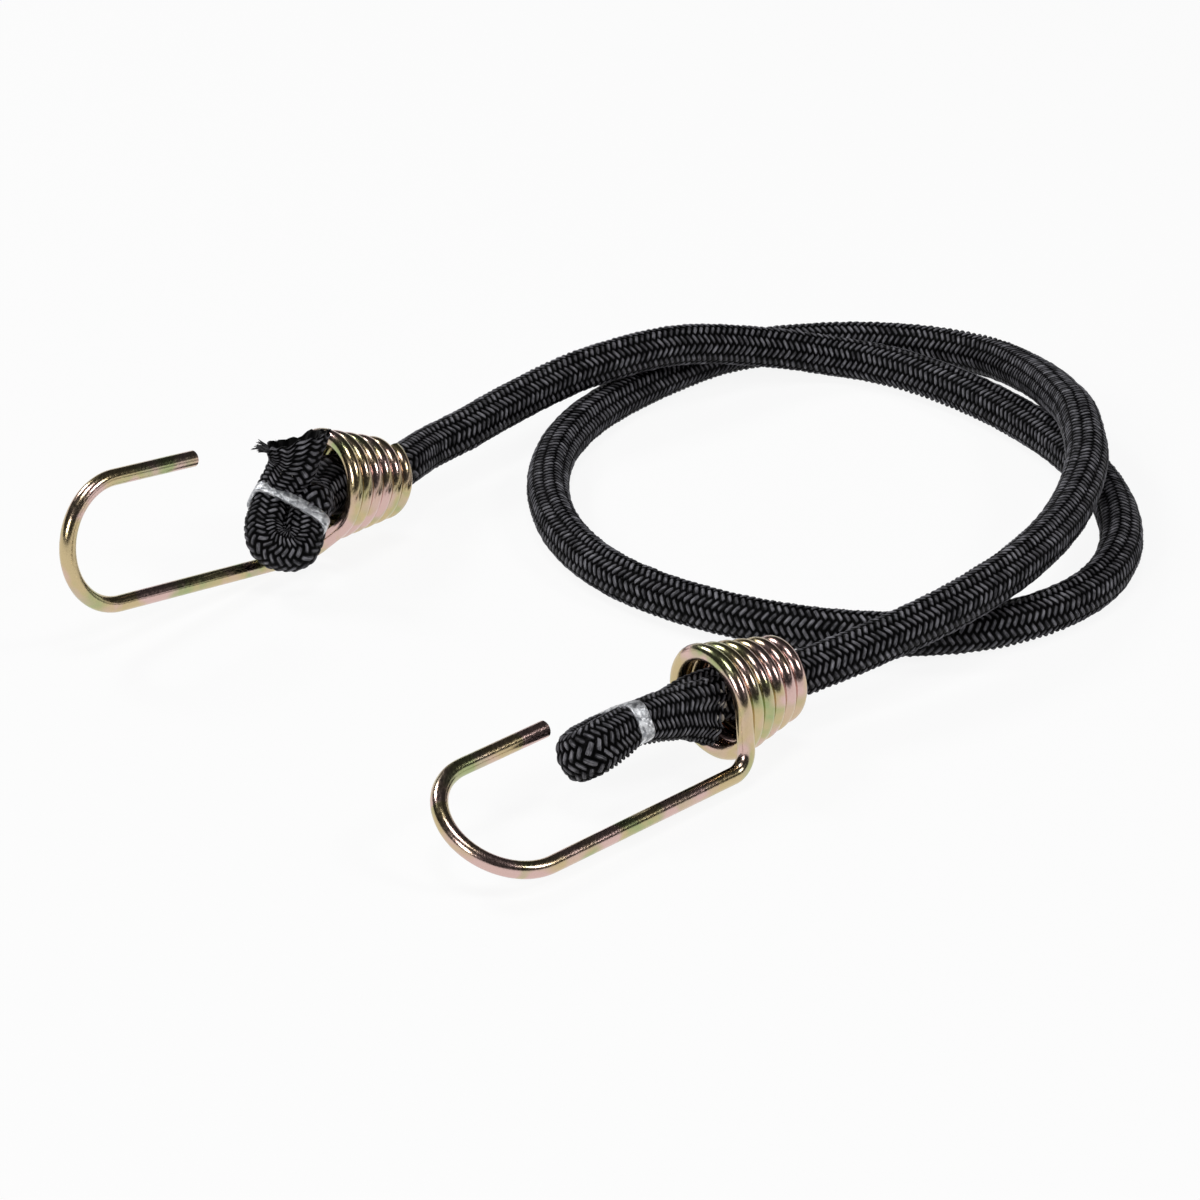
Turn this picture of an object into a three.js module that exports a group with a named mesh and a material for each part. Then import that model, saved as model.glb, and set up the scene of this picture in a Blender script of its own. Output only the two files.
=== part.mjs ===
import * as THREE from "three";

// Bungee cord lying in a loose loop, with a wire hook coiled onto each folded end.
// Millimetres, +Z up, the table at z = 0, the origin under the middle of the whole.

// Cord: a braided sleeve over a bundle of latex strands.
const CORD_DIAMETER = 9.5;
const COVER_WALL = 0.5;
const COVER_SIDES = 12;
const STRAND_DIAMETER = 0.22 * CORD_DIAMETER;
const STRAND_RING_RADIUS = 0.263 * CORD_DIAMETER;
const STRANDS_AROUND = 6;
const STRAND_SIDES = 5;
const CORD_RINGS = 60;
const KNOT_STEPS = 2;
const SPLIT_GAP = 0.3;

// Wire hook: a tapering coil that runs out into a J.
const WIRE_DIAMETER = 3.5;
const WIRE_SIDES = 8;
const COIL_STEPS = 18;
const COIL_TURNS = 96 / COIL_STEPS;
const COIL_PITCH = 3.85;
const MOUTH_RADIUS = 11;
const NARROW_RADIUS = 7.05;
const LEAVE_ANGLE = THREE.MathUtils.degToRad(38);
const CORNER = new THREE.Vector3(0.83, 15.36, -2.3);
const CORNER_BEND_RADIUS = 4.5;
const CORNER_STEPS = 6;
const SHANK_LENGTH = 54.5;
const HOOK_RADIUS = 13.5;
const HOOK_STEPS = 15;
const TIP_LENGTH = 22.25;
const TOE_TO_SHANK = 0.082;
const TOE_SIDEWAYS = -0.047;

// Crimped clip: a flat ring squeezed round both legs of a folded end.
const CLIP_THICKNESS = 0.9;
const CLIP_CLEARANCE = 0.7;
const CLIP_STEPS = 36;
const CLIP_GAP = THREE.MathUtils.degToRad(9);
const CLIP_SQUARENESS = 4;

// Where the free cord ends and the folded end begins, along the coil's axis from its mouth.
const SPLIT_BEHIND_MOUTH = -23;

// Height of the cord's middle when one flat of it lies on the table.
const LYING_HEIGHT = (CORD_DIAMETER / 2) * Math.cos(Math.PI / COVER_SIDES);

const NYLON_BLACK = new THREE.MeshStandardMaterial({ color: 0x1a1a1c, roughness: 0.8 });
const LATEX = new THREE.MeshStandardMaterial({ color: 0xd8c79c, roughness: 0.6 });
const YELLOW_ZINC = new THREE.MeshStandardMaterial({ color: 0xc8a850, metalness: 1, roughness: 0.3 });
const BARE_STEEL = new THREE.MeshStandardMaterial({ color: 0xb8bbc0, metalness: 1, roughness: 0.4 });

// The two ends: middle of the coil's mouth, axis out of the mouth, and the side the shank is on.
// A fold's points run along the axis, then along two cross directions, the first of them turned
// by "lay" from the shank's side, each with the cord's thickness and width there as shares of
// its round diameter. The clip goes round the fold at the two points numbered in "clipAt".
const END_A = {
  name: "a",
  mouth: new THREE.Vector3(-64.29, 18.54, 16.35),
  axis: new THREE.Vector3(-0.7083, -0.6745, 0.2084),
  shankSide: new THREE.Vector3(-0.0337, -0.2626, -0.9643),
  lay: 0,
  widthSide: new THREE.Vector3(0.495, -0.414, 0.758),
  clipAt: [7.7, 15.0],
  clipBand: 2.8,
  clipGapAt: -Math.PI / 2,
  fold: [
    [-23, 0, 0, 1, 1],
    [-17.5, 0, 0, 1, 1],
    [-9.5, 0, 0, 1, 1],
    [-1.4, 0.4, 0.3, 1, 1],
    [4.1, 0.8, 2.9, 0.97, 0.99],
    [7.2, 1.2, 5.2, 0.86, 0.91],
    [8.5, 2.6, 6.1, 0.8, 0.84],
    [9.4, 4.6, 6.5, 0.78, 0.84],
    [10.4, 6.8, 7.0, 0.78, 0.84],
    [11.3, 9.2, 7.6, 0.86, 0.92],
    [13.2, 11.5, 7.5, 0.88, 1.03],
    [15.9, 11.9, 5.7, 0.88, 1.03],
    [17.6, 9.9, 3.5, 0.88, 1.03],
    [17.2, 6.8, 2.2, 0.83, 0.9],
    [16.2, 4.5, 1.9, 0.78, 0.84],
    [15.2, 2.4, 1.5, 0.78, 0.84],
    [14.5, 0.2, 1.0, 0.8, 0.84],
    [14.3, -5.8, 2.5, 0.97, 0.92],
    [13.9, -11.8, 4.8, 1.28, 0.93],
  ],
};
const END_B = {
  name: "b",
  mouth: new THREE.Vector3(17.83, -77.1, 12.18),
  axis: new THREE.Vector3(-0.7617, -0.648, 0.0021),
  shankSide: new THREE.Vector3(0.5832, -0.687, -0.4334),
  lay: THREE.MathUtils.degToRad(-121.8),
  widthSide: new THREE.Vector3(0, 0, 1),
  clipAt: [6, 14],
  clipBand: 4.2,
  clipGapAt: 0,
  fold: [
    [-23, 0, 0, 1, 1],
    [-19.8, 0, 0, 1, 1],
    [-13.9, 1.4, -0.2, 0.9, 1.0],
    [-6.9, 3.3, -0.6, 0.78, 1.05],
    [0.1, 3.9, -0.9, 0.78, 1.1],
    [10.1, 3.9, -1.2, 0.76, 1.08],
    [22.2, 3.75, -2.1, 0.72, 0.84],
    [27.1, 3.9, -1.2, 0.73, 0.96],
    [29.9, 3.7, -0.6, 0.72, 1.04],
    [32.4, 2.6, -0.1, 0.71, 1.04],
    [33.4, 0, 0.1, 0.69, 1.02],
    [32.4, -2.6, -0.1, 0.71, 1.04],
    [29.9, -3.7, -0.6, 0.72, 1.04],
    [27.1, -3.9, -1.2, 0.73, 0.96],
    [22.2, -3.75, -2.1, 0.72, 0.84],
    [10.1, -3.9, -1.0, 0.76, 1.12],
    [-2.0, -3.9, 0.8, 0.74, 1.3],
  ],
};

// The free cord's way over the table from end A to end B: x, y and the height it is lifted.
const ROUTE = [
  [-42.5, 47.6, 7.2],
  [-34.5, 57.1, 7.6],
  [-26.4, 67.5, 8.2],
  [-17.5, 77.9, 8.9],
  [-7.0, 87.5, 9.9],
  [14.0, 102.5, 9.4],
  [35.0, 113.5, 4.4],
  [51.0, 116.5, 0.9],
  [62.5, 113.5, 0],
  [78.0, 101.0, 0],
  [94.0, 80.0, 0],
  [105.0, 57.0, 0],
  [110.0, 33.0, 0],
  [109.0, 11.0, 0],
  [102.0, -7.0, 0],
  [90.0, -20.0, 0],
  [74.5, -28.0, 0],
  [55.0, -30.0, 0],
  [34.0, -25.5, 0],
  [13.5, -14.5, 0],
  [-1.5, 0.0, 0],
  [-11.0, 18.5, 0],
  [-15.0, 40.5, 0],
  [-13.0, 63.5, 0],
  [-5.0, 84.0, 0],
  [10.5, 105.0, 0],
  [27.0, 120.0, 0],
  [44.0, 126.0, 0],
  [64.5, 127.0, 0],
  [79.3, 122.5, 0.3],
  [89.7, 113.9, 1.3],
  [96.9, 98.9, 3.6],
  [99.9, 87.4, 5.8],
  [102.3, 72.5, 8.6],
  [103.8, 59.3, 10.8],
  [103.5, 34.0, 10.9],
  [97.5, 10.0, 9.9],
  [86.5, -14.5, 10.4],
  [71.0, -35.0, 9.9],
  [52.5, -51.0, 8.4],
];

const part = new THREE.Group();

function addPiece(name, geometry, material) {
  const mesh = new THREE.Mesh(geometry, material);
  mesh.name = name;
  part.add(mesh);
}

// Surface through rings of equal count: closed on itself as a sleeve, or capped at both ends.
function skinRings(rings, isSleeve) {
  const positions = [];
  const push = (...corners) => corners.forEach((c) => positions.push(c.x, c.y, c.z));
  const sides = rings[0].length;
  const spans = isSleeve ? rings.length : rings.length - 1;
  for (let i = 0; i < spans; i += 1) {
    const near = rings[i];
    const far = rings[(i + 1) % rings.length];
    for (let k = 0; k < sides; k += 1) {
      const next = (k + 1) % sides;
      push(near[k], near[next], far[next]);
      push(near[k], far[next], far[k]);
    }
  }
  if (!isSleeve) {
    const first = rings[0];
    const last = rings[rings.length - 1];
    for (let k = 1; k < sides - 1; k += 1) {
      push(first[0], first[k + 1], first[k]);
      push(last[0], last[k], last[k + 1]);
    }
  }
  const geometry = new THREE.BufferGeometry();
  geometry.setAttribute("position", new THREE.Float32BufferAttribute(positions, 3));
  geometry.computeVertexNormals();
  return geometry;
}

// Polygon ring in a frame's cross plane, off its middle, with its own two half sizes.
function ringIn(frame, offU, offV, halfU, halfV, sides, turn) {
  const ring = [];
  for (let k = 0; k < sides; k += 1) {
    const angle = ((k + 0.5) * 2 * Math.PI) / sides + turn;
    const point = frame.middle.clone();
    point.addScaledVector(frame.u, offU + halfU * Math.cos(angle));
    point.addScaledVector(frame.v, offV + halfV * Math.sin(angle));
    ring.push(point);
  }
  return ring;
}

// Places along a curve, closer together where it bends: half by length and half by turning.
function placesAlong(curve, count) {
  const fine = 1600;
  const stepLength = 14;
  const stepTurn = 0.32;
  const total = [0];
  let before = curve.getTangent(0);
  const lengths = curve.getLengths(fine);
  for (let i = 1; i <= fine; i += 1) {
    const tangent = curve.getTangent(i / fine);
    const turned = before.angleTo(tangent);
    total.push(total[i - 1] + (lengths[i] - lengths[i - 1]) / stepLength + turned / stepTurn);
    before = tangent;
  }
  const places = [];
  let at = 0;
  for (let i = 0; i < count; i += 1) {
    const wanted = (total[fine] * i) / (count - 1);
    while (at < fine - 1 && total[at + 1] < wanted) {
      at += 1;
    }
    const share = (wanted - total[at]) / (total[at + 1] - total[at]);
    places.push(Math.min(1, (at + Math.min(1, Math.max(0, share))) / fine));
  }
  return places;
}

// Cross frame at a point, with v kept as near to one given side as the direction allows.
function frameAt(middle, direction, side) {
  const tangent = direction.clone().normalize();
  const v = side.clone().addScaledVector(tangent, -side.dot(tangent)).normalize();
  const u = v.clone().cross(tangent);
  return { middle, tangent, u, v, halfU: CORD_DIAMETER / 2, halfV: CORD_DIAMETER / 2 };
}

function framesAlong(curve, places, side) {
  return places.map((place) => frameAt(curve.getPoint(place), curve.getTangent(place), side));
}

// Sleeve and strands of one length of cord, squeezed to each frame's half sizes.
function addCord(prefix, frames) {
  const outer = frames.map((f) => ringIn(f, 0, 0, f.halfU, f.halfV, COVER_SIDES, 0));
  const inner = frames.map((f) =>
    ringIn(f, 0, 0, f.halfU - COVER_WALL, f.halfV - COVER_WALL, COVER_SIDES, 0),
  );
  addPiece(prefix + "_cover", skinRings([...outer, ...inner.reverse()], true), NYLON_BLACK);
  for (let k = 0; k <= STRANDS_AROUND; k += 1) {
    const ringRadius = k === 0 ? 0 : STRAND_RING_RADIUS;
    const angle = (k * 2 * Math.PI) / STRANDS_AROUND;
    const rings = frames.map((f) => {
      const squeezeU = (2 * f.halfU) / CORD_DIAMETER;
      const squeezeV = (2 * f.halfV) / CORD_DIAMETER;
      const offU = ringRadius * Math.cos(angle) * squeezeU;
      const offV = ringRadius * Math.sin(angle) * squeezeV;
      const halfU = (STRAND_DIAMETER / 2) * squeezeU;
      const halfV = (STRAND_DIAMETER / 2) * squeezeV;
      return ringIn(f, offU, offV, halfU, halfV, STRAND_SIDES, angle + Math.PI / STRAND_SIDES);
    });
    addPiece(prefix + "_strand_" + (k + 1), skinRings(rings, false), LATEX);
  }
}

// An end's own axes as a matrix: along the axis, towards the shank, and square to both.
function axesOf(end) {
  const s = end.axis.clone().normalize();
  const w = end.shankSide.clone();
  w.addScaledVector(s, -w.dot(s)).normalize();
  const n = s.clone().cross(w);
  return new THREE.Matrix4().makeBasis(s, w, n).setPosition(end.mouth);
}

// The same axes turned about the coil's axis so that the fold lies along the first cross one.
function foldAxesOf(end) {
  const turn = new THREE.Matrix4().makeRotationX(end.lay);
  return axesOf(end).multiply(turn);
}

// Middle line of the wire in the end's own axes, from the narrow end's cut to the tip's cut.
function wirePath() {
  const path = [];
  const coilPoints = COIL_TURNS * COIL_STEPS;
  for (let i = coilPoints; i >= 0; i -= 1) {
    const share = i / coilPoints;
    const angle = LEAVE_ANGLE + (i * 2 * Math.PI) / COIL_STEPS;
    const radius = MOUTH_RADIUS + (NARROW_RADIUS - MOUTH_RADIUS) * share;
    const along = -COIL_PITCH * COIL_TURNS * share;
    path.push(new THREE.Vector3(along, radius * Math.cos(angle), radius * Math.sin(angle)));
  }
  const toe = new THREE.Matrix4().makeRotationY(TOE_SIDEWAYS);
  toe.multiply(new THREE.Matrix4().makeRotationZ(TOE_TO_SHANK));
  const inHook = (along, across) => new THREE.Vector3(along, across, 0).applyMatrix4(toe).add(CORNER);
  const arriving = CORNER.clone().sub(path[path.length - 1]).normalize();
  const leaving = inHook(1, 0).sub(CORNER).normalize();
  const turned = arriving.angleTo(leaving);
  const reach = CORNER_BEND_RADIUS * Math.tan(turned / 2);
  const towardsMiddle = leaving.clone().sub(arriving).normalize();
  const middle = CORNER.clone().addScaledVector(towardsMiddle, CORNER_BEND_RADIUS / Math.cos(turned / 2));
  const armIn = CORNER.clone().addScaledVector(arriving, -reach).sub(middle);
  const armOut = CORNER.clone().addScaledVector(leaving, reach).sub(middle);
  for (let i = 0; i <= CORNER_STEPS; i += 1) {
    const share = i / CORNER_STEPS;
    const point = middle.clone();
    point.addScaledVector(armIn, Math.sin((1 - share) * turned) / Math.sin(turned));
    point.addScaledVector(armOut, Math.sin(share * turned) / Math.sin(turned));
    path.push(point);
  }
  for (let i = 0; i <= HOOK_STEPS; i += 1) {
    const angle = (i * Math.PI) / HOOK_STEPS;
    const along = SHANK_LENGTH + HOOK_RADIUS * Math.sin(angle);
    path.push(inHook(along, HOOK_RADIUS * (Math.cos(angle) - 1)));
  }
  path.push(inHook(SHANK_LENGTH - TIP_LENGTH, -2 * HOOK_RADIUS));
  return path;
}

// Frames carried along the wire without twist, then rolled so that a flat faces into the hook.
function wireFrames(path) {
  const last = path.length - 1;
  const steps = path.slice(1).map((p, i) => p.clone().sub(path[i]).normalize());
  const tangents = path.map((p, i) => {
    const before = steps[Math.max(0, i - 1)];
    const after = steps[Math.min(last - 1, i)];
    return before.clone().add(after).normalize();
  });
  let u = new THREE.Vector3(1, 0, 0);
  u.addScaledVector(tangents[0], -u.dot(tangents[0])).normalize();
  const frames = path.map((middle, i) => {
    const before = tangents[Math.max(0, i - 1)];
    u = u.clone().applyQuaternion(new THREE.Quaternion().setFromUnitVectors(before, tangents[i]));
    return { middle, u, v: tangents[i].clone().cross(u) };
  });
  const apex = last - 1 - Math.floor(HOOK_STEPS / 2);
  const across = path[last - 1 - HOOK_STEPS].clone().add(path[last - 1]).multiplyScalar(0.5);
  const inward = across.sub(path[apex].clone().add(path[apex - 1]).multiplyScalar(0.5));
  const roll = Math.atan2(inward.dot(frames[apex].v), inward.dot(frames[apex].u));
  return { frames, roll };
}

function addHook(end) {
  const { frames, roll } = wireFrames(wirePath());
  const half = WIRE_DIAMETER / 2;
  const rings = frames.map((f) => ringIn(f, 0, 0, half, half, WIRE_SIDES, roll));
  const geometry = skinRings(rings, false);
  geometry.applyMatrix4(axesOf(end));
  addPiece("hook_" + end.name, geometry, YELLOW_ZINC);
}

function foldCurve(end) {
  const axes = foldAxesOf(end);
  const points = end.fold.map(([s, e, m]) => new THREE.Vector3(s, e, m).applyMatrix4(axes));
  return new THREE.CatmullRomCurve3(points, false, "centripetal");
}

// Half thickness and half width of a fold at a place along it.
function foldSizes(end, place) {
  const last = end.fold.length - 1;
  const at = Math.min(last - 1, Math.floor(place * last));
  const share = THREE.MathUtils.smoothstep(place * last - at, 0, 1);
  const mix = (column) => THREE.MathUtils.lerp(end.fold[at][column], end.fold[at + 1][column], share);
  return { halfU: (mix(3) * CORD_DIAMETER) / 2, halfV: (mix(4) * CORD_DIAMETER) / 2 };
}

function foldFrames(end, places) {
  const side = end.widthSide.clone().transformDirection(foldAxesOf(end));
  const frames = framesAlong(foldCurve(end), places, side);
  return frames.map((frame, i) => Object.assign(frame, foldSizes(end, places[i])));
}

function addKnot(end) {
  const last = (end.fold.length - 1) * KNOT_STEPS;
  const places = Array.from({ length: last + 1 }, (_, i) => i / last);
  addCord("knot_" + end.name, foldFrames(end, places));
}

// Ring round both legs of a fold, open by a small gap where its two ends meet.
function addClip(end) {
  const last = end.fold.length - 1;
  const [there, back] = foldFrames(end, end.clipAt.map((index) => index / last));
  const middle = there.middle.clone().add(back.middle).multiplyScalar(0.5);
  const along = there.tangent.clone().sub(back.tangent).normalize();
  const u = there.middle.clone().sub(back.middle).normalize();
  const axis = along.clone().addScaledVector(u, -along.dot(u)).normalize();
  const v = axis.clone().cross(u);
  const slant = along.angleTo(axis);
  const apart = there.middle.distanceTo(back.middle) / 2;
  const halfBand = end.clipBand / 2;
  const halfLeg = there.halfU / Math.cos(slant) + halfBand * Math.tan(slant);
  const halfU = apart + halfLeg + CLIP_CLEARANCE;
  const halfV = there.halfV + CLIP_CLEARANCE;
  const corner = (angle, out, shift) => {
    const bend = (value) => Math.sign(value) * Math.abs(value) ** (2 / CLIP_SQUARENESS);
    const point = middle.clone().addScaledVector(axis, shift);
    point.addScaledVector(u, (halfU + out) * bend(Math.cos(angle)));
    point.addScaledVector(v, (halfV + out) * bend(Math.sin(angle)));
    return point;
  };
  const rings = [];
  for (let i = 0; i <= CLIP_STEPS; i += 1) {
    const angle = end.clipGapAt + CLIP_GAP + (i * (2 * Math.PI - 2 * CLIP_GAP)) / CLIP_STEPS;
    rings.push([
      corner(angle, 0, -halfBand),
      corner(angle, 0, halfBand),
      corner(angle, CLIP_THICKNESS, halfBand),
      corner(angle, CLIP_THICKNESS, -halfBand),
    ]);
  }
  addPiece("clip_" + end.name, skinRings(rings, false), BARE_STEEL);
}

function addFreeCord() {
  const splitOf = (end) => {
    const along = new THREE.Vector3(SPLIT_BEHIND_MOUTH - SPLIT_GAP, 0, 0);
    return along.applyMatrix4(axesOf(end));
  };
  const points = ROUTE.map(([x, y, lift]) => new THREE.Vector3(x, y, LYING_HEIGHT + lift));
  const curve = new THREE.CatmullRomCurve3([splitOf(END_A), ...points, splitOf(END_B)], false, "centripetal");
  const up = new THREE.Vector3(0, 0, 1);
  const frames = framesAlong(curve, placesAlong(curve, CORD_RINGS), up);
  frames.forEach((frame) => {
    frame.middle.z = Math.max(frame.middle.z, LYING_HEIGHT);
  });
  frames[0] = frameAt(splitOf(END_A), END_A.axis.clone().negate(), up);
  frames[CORD_RINGS - 1] = frameAt(splitOf(END_B), END_B.axis, up);
  addCord("cord", frames);
}

// Least clear gap between turns of the coil, measured between points at least half a turn apart.
function coilGap() {
  const coil = wirePath().slice(0, COIL_TURNS * COIL_STEPS + 1);
  let least = Infinity;
  coil.forEach((p, i) => {
    coil.slice(i + COIL_STEPS / 2).forEach((q) => {
      least = Math.min(least, p.distanceTo(q));
    });
  });
  return least - WIRE_DIAMETER;
}

addFreeCord();
[END_A, END_B].forEach((end) => {
  addKnot(end);
  addHook(end);
  addClip(end);
});
console.log("least gap between coil turns " + coilGap().toFixed(2) + " mm");

export default part;
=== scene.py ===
import math
import random

import bpy
import numpy as np
from mathutils import Matrix


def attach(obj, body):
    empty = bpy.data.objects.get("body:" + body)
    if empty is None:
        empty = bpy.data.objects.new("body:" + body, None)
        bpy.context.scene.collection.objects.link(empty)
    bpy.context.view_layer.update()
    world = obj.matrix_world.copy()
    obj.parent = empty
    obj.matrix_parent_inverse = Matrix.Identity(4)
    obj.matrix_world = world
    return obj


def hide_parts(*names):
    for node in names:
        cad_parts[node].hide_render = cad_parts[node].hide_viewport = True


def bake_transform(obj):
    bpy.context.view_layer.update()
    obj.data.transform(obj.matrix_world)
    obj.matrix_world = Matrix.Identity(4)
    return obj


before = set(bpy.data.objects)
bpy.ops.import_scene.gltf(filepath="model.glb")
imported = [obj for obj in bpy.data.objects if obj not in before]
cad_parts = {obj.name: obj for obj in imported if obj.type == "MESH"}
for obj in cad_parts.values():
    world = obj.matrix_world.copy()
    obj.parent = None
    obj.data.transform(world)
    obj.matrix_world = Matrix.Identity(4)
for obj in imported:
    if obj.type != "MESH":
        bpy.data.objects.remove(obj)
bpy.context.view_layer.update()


# Camera: a long lens about a metre away, 26 degrees above the table, looking at the middle
# of the loop.
CAMERA_PLACE = (-0.0035, -0.8708, 0.4225)
CAMERA_TILT = math.radians(64.0)
bpy.ops.object.select_all(action="DESELECT")
bpy.ops.object.camera_add(location=CAMERA_PLACE, rotation=(CAMERA_TILT, 0.0, 0.0))
camera = bpy.context.object
camera.data.lens = 135.3
camera.data.sensor_width = 36.0
bpy.context.scene.camera = camera


# Middle line of the cord: one length from cut end to cut end, in millimetres. The free length
# lies on the table in one and a half loose turns, and each end is folded back on itself. A
# fold point is along its coil's axis, two ways across it, and the two half sizes as shares.
MM = 0.001
CORD_DIAMETER = 9.5
CORD_RADIUS = CORD_DIAMETER / 2
SOLID_SIDES = 12
LYING_HEIGHT = CORD_RADIUS * math.cos(math.pi / SOLID_SIDES)
END_A = {
    "mouth": (-64.29, 18.54, 16.35),
    "axis": (-0.7083, -0.6745, 0.2084),
    "shank_side": (-0.0337, -0.2626, -0.9643),
    "lay": 0.0,
    "width_side": (0.495, -0.414, 0.758),
    "fold": [
        (-23, -1.7, 0, 1, 1),
        (-20.2, -0.55, 0, 0.86, 0.86),
        (-10.0, 0, 0, 1.25, 1.25),
        (-2.5, 0.2, 0.3, 1.38, 1.38),
        (4.1, 2.6, 3.2, 0.97, 0.99),
        (7.2, 2.3, 5.6, 0.92, 0.95),
        (8.5, 3.0, 6.6, 0.9, 0.9),
        (9.4, 4.6, 7.0, 0.9, 0.88),
        (10.4, 6.8, 7.5, 0.93, 0.92),
        (11.3, 9.2, 8.1, 0.92, 1.02),
        (13.2, 11.5, 7.9, 0.95, 1.1),
        (15.9, 11.7, 5.9, 0.95, 1.12),
        (17.6, 9.9, 3.6, 0.95, 1.1),
        (17.2, 6.8, 2.2, 0.95, 1.02),
        (16.2, 4.5, 1.9, 0.93, 0.92),
        (15.2, 2.4, 1.5, 0.9, 0.88),
        (14.0, 0.2, 1.2, 0.88, 0.9),
        (11.2, -5.8, 3.8, 1.12, 0.97),
        (10.6, -11.8, 5.0, 1.38, 0.95),
    ],
}
END_B = {
    "mouth": (17.83, -77.1, 12.18),
    "axis": (-0.7617, -0.648, 0.0021),
    "shank_side": (0.5832, -0.687, -0.4334),
    "lay": math.radians(-121.8),
    "width_side": (0.0, 0.0, 1.0),
    "fold": [
        (-23, 0, 0.8, 1, 1),
        (-19.8, 0, 0.4, 1, 1),
        (-13.9, 0.8, -0.3, 1.0, 1.08),
        (-8.0, 1.25, -0.85, 1.17, 1.22),
        (0.1, 3.8, -2.4, 0.76, 1.0),
        (7.5, 3.9, -1.2, 0.78, 1.03),
        (20.9, 3.75, -2.1, 0.76, 0.9),
        (26.4, 3.9, -1.2, 0.78, 1.02),
        (29.9, 3.7, -0.6, 0.76, 1.06),
        (32.4, 2.6, -0.1, 0.74, 1.06),
        (33.4, 0, 0.1, 0.72, 1.04),
        (32.4, -2.6, -0.1, 0.74, 1.06),
        (29.9, -3.7, -0.6, 0.76, 1.06),
        (26.4, -3.9, -1.2, 0.78, 1.02),
        (20.9, -3.75, -2.1, 0.76, 0.9),
        (11.5, -3.9, -1.0, 0.78, 1.1),
        (6.5, -3.9, 0.0, 0.78, 1.26),
        (2.0, -3.9, 1.1, 0.74, 1.48),
    ],
}
ROUTE = [
    (-42.5, 47.6, 7.2),
    (-34.5, 57.1, 7.6),
    (-26.4, 67.5, 8.2),
    (-17.5, 77.9, 8.9),
    (-7.0, 87.5, 9.9),
    (14.0, 102.5, 9.4),
    (35.0, 113.5, 4.4),
    (51.0, 116.5, 0.9),
    (62.5, 113.5, 0),
    (78.0, 101.0, 0),
    (94.0, 80.0, 0),
    (105.0, 57.0, 0),
    (110.0, 33.0, 0),
    (109.0, 11.0, 0),
    (102.0, -7.0, 0),
    (90.0, -20.0, 0),
    (74.5, -28.0, 0),
    (55.0, -30.0, 0),
    (34.0, -25.5, 0),
    (13.5, -14.5, 0),
    (-1.5, 0.0, 0),
    (-11.0, 18.5, 0),
    (-15.0, 40.5, 0),
    (-13.0, 63.5, 0),
    (-5.0, 84.0, 0),
    (10.5, 105.0, 0),
    (27.0, 120.0, 0),
    (44.0, 126.0, 0),
    (64.5, 127.0, 0),
    (79.3, 122.5, 0.3),
    (89.7, 113.9, 1.3),
    (96.9, 98.9, 3.6),
    (99.9, 87.4, 5.8),
    (102.3, 72.5, 8.6),
    (103.8, 59.3, 10.8),
    (103.5, 34.0, 10.9),
    (97.5, 10.0, 9.9),
    (86.5, -14.5, 10.4),
    (71.0, -35.0, 9.9),
    (52.5, -51.0, 8.4),
]
# Points of the route where the four lengths of the free cord meet.
PULLED_FROM_A = 7
LOOP_MIDDLE = 20
PULLED_FROM_B = 34


def unit(vector):
    return np.asarray(vector, float) / np.linalg.norm(vector)


def end_axes(end):
    """Mouth of an end's coil, and its axes: out of the mouth, to the shank, square to both."""
    along = unit(end["axis"])
    shank = np.array(end["shank_side"])
    shank = unit(shank - shank.dot(along) * along)
    return np.array(end["mouth"]), np.column_stack([along, shank, np.cross(along, shank)])


def fold_axes(end):
    """The same axes, turned about the coil so that the fold lies along the first cross one."""
    mouth, axes = end_axes(end)
    cosine = math.cos(end["lay"])
    sine = math.sin(end["lay"])
    turn = np.array([[1, 0, 0], [0, cosine, -sine], [0, sine, cosine]])
    return mouth, axes @ turn


def fold_points(end):
    mouth, axes = fold_axes(end)
    return [mouth + axes @ np.array(point[:3]) for point in end["fold"]]


def spline(controls, steps):
    """Centripetal Catmull-Rom line through the controls, with that many steps in each span."""
    points = np.array(controls, float)
    first = 2 * points[0] - points[1]
    last = 2 * points[-1] - points[-2]
    padded = np.vstack([first, points, last])
    share = (np.arange(steps) / steps)[:, None]
    line = []
    for before, start, stop, after in zip(padded, padded[1:], padded[2:], padded[3:]):
        gap_in = math.sqrt(np.linalg.norm(start - before))
        gap = math.sqrt(np.linalg.norm(stop - start))
        gap_out = math.sqrt(np.linalg.norm(after - stop))
        over_in = (stop - before) / (gap_in + gap)
        over_out = (after - start) / (gap + gap_out)
        leave = ((start - before) / gap_in - over_in + (stop - start) / gap) * gap
        arrive = ((stop - start) / gap - over_out + (after - stop) / gap_out) * gap
        square = -3 * start + 3 * stop - 2 * leave - arrive
        cube = 2 * start - 2 * stop + leave + arrive
        line.append(start + leave * share + square * share**2 + cube * share**3)
    return np.vstack(line + [points[-1:]])


route_points = [(x, y, LYING_HEIGHT + lift) for x, y, lift in ROUTE]
line_controls = fold_points(END_A)[::-1] + route_points + fold_points(END_B)
size_controls = [point[3:] for point in END_A["fold"][::-1]]
size_controls += [(1, 1)] * len(ROUTE)
size_controls += [point[3:] for point in END_B["fold"]]
SPAN_STEPS = 120
dense_line = spline(line_controls, SPAN_STEPS)
dense_line[:, 2] = np.maximum(dense_line[:, 2], LYING_HEIGHT)
dense_reach = np.r_[0, np.cumsum(np.linalg.norm(np.diff(dense_line, axis=0), axis=1))]
span_share = np.arange(SPAN_STEPS) / SPAN_STEPS
span_ease = (span_share**2 * (3 - 2 * span_share))[:, None]
size_rows = np.array(size_controls, float)
dense_sizes = [here + (there - here) * span_ease for here, there in zip(size_rows, size_rows[1:])]
dense_sizes = np.vstack(dense_sizes + [size_rows[-1:]]) * CORD_RADIUS

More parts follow.
